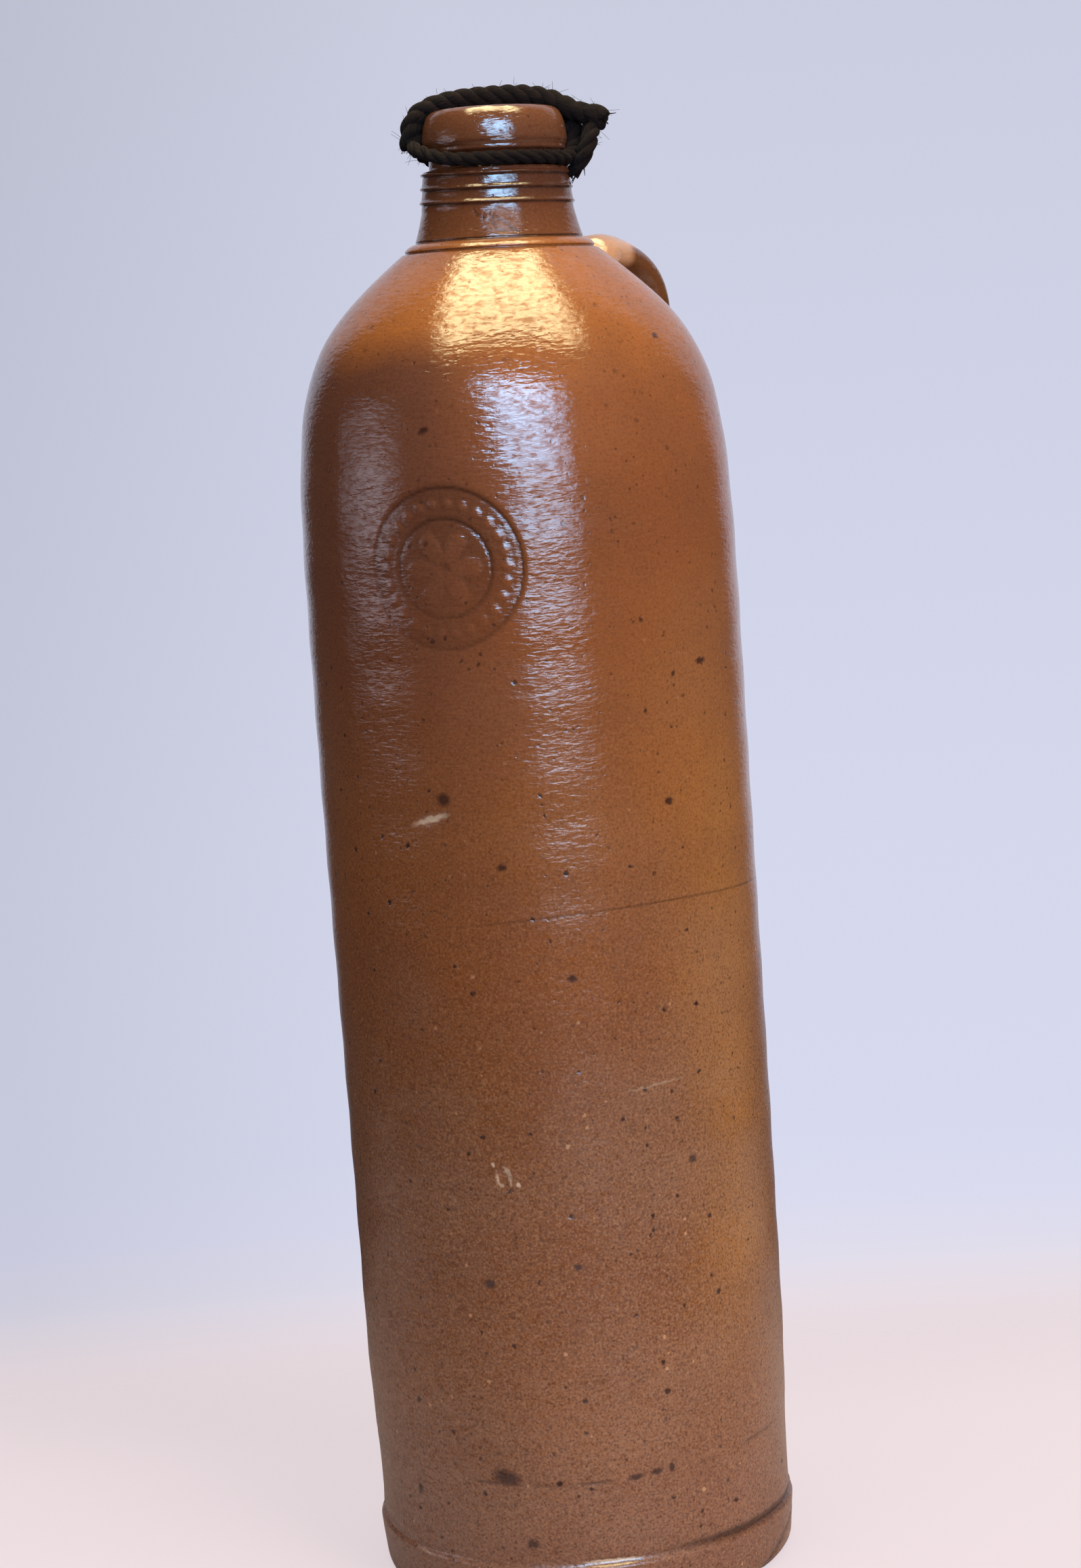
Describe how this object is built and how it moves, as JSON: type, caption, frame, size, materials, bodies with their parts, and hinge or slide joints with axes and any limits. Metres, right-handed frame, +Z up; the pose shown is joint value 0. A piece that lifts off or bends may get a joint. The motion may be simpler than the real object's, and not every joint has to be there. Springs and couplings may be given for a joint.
{
  "type": "stoneware water bottle",
  "caption": "Tall hollow stoneware bottle with a rounded shoulder, ringed neck, ear handle at the back, and a cork tied down with twine.",
  "frame": {"origin": "centre of the flat base, on the surface the bottle stands on", "axes": "+Z up along the bottle's axis, +Y towards the ear handle"},
  "size_m": [0.0872, 0.0976, 0.3004],
  "materials": {
    "salt_glaze": "orange-brown salt glaze over thrown stoneware",
    "cork": "cut natural cork",
    "twine": "dark tarred hemp twine, twisted"
  },
  "bodies": {
    "bottle": {"bottle_body": "salt_glaze", "ear_handle": "salt_glaze", "twine_neck_turn": "twine"},
    "stopper": {"cork_stopper": "cork", "twine_bail": "twine"}
  },
  "joints": [
    {"name": "cork_pull", "type": "slide", "parent": "bottle", "child": "stopper", "axis": [0, 0, 1], "range_m": [0, 0.035]}
  ]
}
